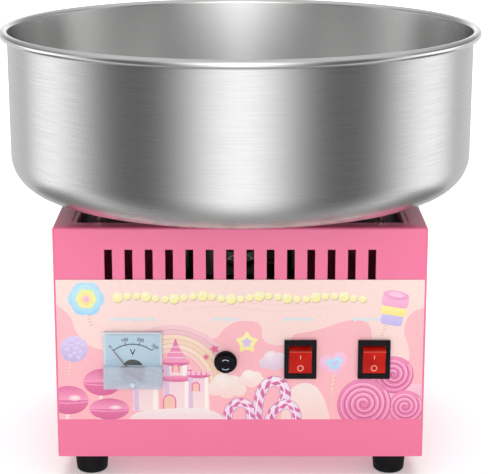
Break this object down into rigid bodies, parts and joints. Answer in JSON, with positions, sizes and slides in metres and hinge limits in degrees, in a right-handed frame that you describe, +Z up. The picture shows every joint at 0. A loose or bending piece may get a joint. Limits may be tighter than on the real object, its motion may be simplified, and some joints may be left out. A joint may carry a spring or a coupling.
{
  "type": "cotton candy machine",
  "caption": "Countertop floss maker: box body on rubber feet with meter, fuse and rocker switches, spinning heated head inside a wide lift-off steel bowl.",
  "frame": {"origin": "on the floor, under the axis of the motor, head and bowl", "axes": "+Z up along the spinning axis, +Y to the back, so the controls face -Y"},
  "size_m": [0.52, 0.52, 0.4677],
  "materials": {
    "pink_paint": "gloss powder coat",
    "printed_panel": "printed film",
    "dark_steel": "satin black",
    "bowl_steel": "brushed",
    "motor_steel": "zinc plated",
    "chrome": "polished",
    "cast_aluminium": "satin",
    "brass": "turned",
    "black_rubber": "matte",
    "black_plastic": "satin",
    "red_plastic": "translucent gloss",
    "clear_plastic": "clear gloss",
    "pale_plastic": "satin",
    "brown_resin": "moulded",
    "carbon": "pressed carbon",
    "ferrite": "sintered",
    "glass": "clear",
    "circuit_board": "solder mask",
    "red_lead": "insulation"
  },
  "bodies": {
    "machine": {"base_plate": "pink_paint", "bowl_post_front_left": "chrome", "bowl_post_front_right": "chrome", "bowl_post_rear_left": "chrome", "bowl_post_rear_right": "chrome", "brush_block": "brown_resin", "control_board": "circuit_board", "damper_front_left": "black_rubber", "damper_front_right": "black_rubber", "damper_rear_left": "black_rubber", "damper_rear_right": "black_rubber", "deck_plate": "dark_steel", "foot_front_left": "black_rubber", "foot_front_right": "black_rubber", "foot_rear_left": "black_rubber", "foot_rear_right": "black_rubber", "front_decal": "printed_panel", "fuse_holder": "black_plastic", "heat_switch_frame": "black_plastic", "heater_lead": "red_lead", "housing_shell": "pink_paint", "lower_bearing": "chrome", "lower_brush": "carbon", "magnet_ring": "ferrite", "motor_bottom_bell": "cast_aluminium", "motor_can": "motor_steel", "motor_lead": "red_lead", "motor_plate": "dark_steel", "motor_top_bell": "cast_aluminium", "power_inlet": "black_plastic", "power_switch_frame": "black_plastic", "rear_panel": "pink_paint", "rear_screw_left": "chrome", "rear_screw_right": "chrome", "upper_bearing": "chrome", "upper_brush": "carbon", "voltmeter_case": "pale_plastic", "voltmeter_cover": "clear_plastic", "voltmeter_dial": "pale_plastic"},
    "spinner": {"drive_shaft": "chrome", "rotor_core": "motor_steel", "slip_ring_hub": "brown_resin", "slip_ring_upper": "brass", "slip_ring_lower": "brass", "head_base": "cast_aluminium", "heater_ring": "dark_steel", "head_band": "cast_aluminium", "head_cap": "cast_aluminium", "head_nut": "chrome"},
    "bowl": {"bowl": "bowl_steel"},
    "clip_1": {"bowl_clip_1": "chrome"},
    "clip_2": {"bowl_clip_2": "chrome"},
    "clip_3": {"bowl_clip_3": "chrome"},
    "clip_4": {"bowl_clip_4": "chrome"},
    "needle": {"voltmeter_needle": "black_plastic"},
    "zero_adjuster": {"zero_screw": "pale_plastic"},
    "fuse_carrier": {"fuse_link": "glass"},
    "fuse_cap": {"fuse_cap": "black_plastic"},
    "heat_rocker": {"heat_rocker": "red_plastic"},
    "power_rocker": {"power_rocker": "red_plastic"}
  },
  "joints": [
    {"name": "head_spin", "type": "hinge", "parent": "machine", "child": "spinner", "pos_m": [0, 0, 0.2], "axis": [0, 0, 1], "continuous": true},
    {"name": "bowl_lift", "type": "slide", "parent": "machine", "child": "bowl", "axis": [0, 0, 1], "range_m": [0, 0.2]},
    {"name": "clip_turn_1", "type": "hinge", "parent": "machine", "child": "clip_1", "pos_m": [0.074, 0, 0.3], "axis": [0, 0, -1], "range_deg": [0, 90]},
    {"name": "clip_turn_2", "type": "hinge", "parent": "machine", "child": "clip_2", "pos_m": [0, 0.074, 0.3], "axis": [0, 0, -1], "range_deg": [0, 90]},
    {"name": "clip_turn_3", "type": "hinge", "parent": "machine", "child": "clip_3", "pos_m": [-0.074, 0, 0.3], "axis": [0, 0, -1], "range_deg": [0, 90]},
    {"name": "clip_turn_4", "type": "hinge", "parent": "machine", "child": "clip_4", "pos_m": [0, -0.074, 0.3], "axis": [0, 0, -1], "range_deg": [0, 90]},
    {"name": "needle_swing", "type": "hinge", "parent": "machine", "child": "needle", "pos_m": [-0.113, -0.1469, 0.119], "axis": [0, 1, 0], "range_deg": [0, 76], "stiffness_Nm_per_rad": 0.00005},
    {"name": "zero_adjust", "type": "hinge", "parent": "machine", "child": "zero_adjuster", "pos_m": [-0.113, -0.153, 0.109], "axis": [0, 1, 0], "range_deg": [-45, 45]},
    {"name": "fuse_pull", "type": "slide", "parent": "machine", "child": "fuse_carrier", "axis": [0, -1, 0], "range_m": [0, 0.04]},
    {"name": "fuse_cap_turn", "type": "hinge", "parent": "fuse_carrier", "child": "fuse_cap", "pos_m": [-0.0154, -0.14, 0.131], "axis": [0, -1, 0], "range_deg": [0, 60]},
    {"name": "heat_rock", "type": "hinge", "parent": "machine", "child": "heat_rocker", "pos_m": [0.0634, -0.139, 0.134], "axis": [-1, 0, 0], "range_deg": [0, 24]},
    {"name": "power_rock", "type": "hinge", "parent": "machine", "child": "power_rocker", "pos_m": [0.141, -0.139, 0.134], "axis": [-1, 0, 0], "range_deg": [0, 24]}
  ]
}
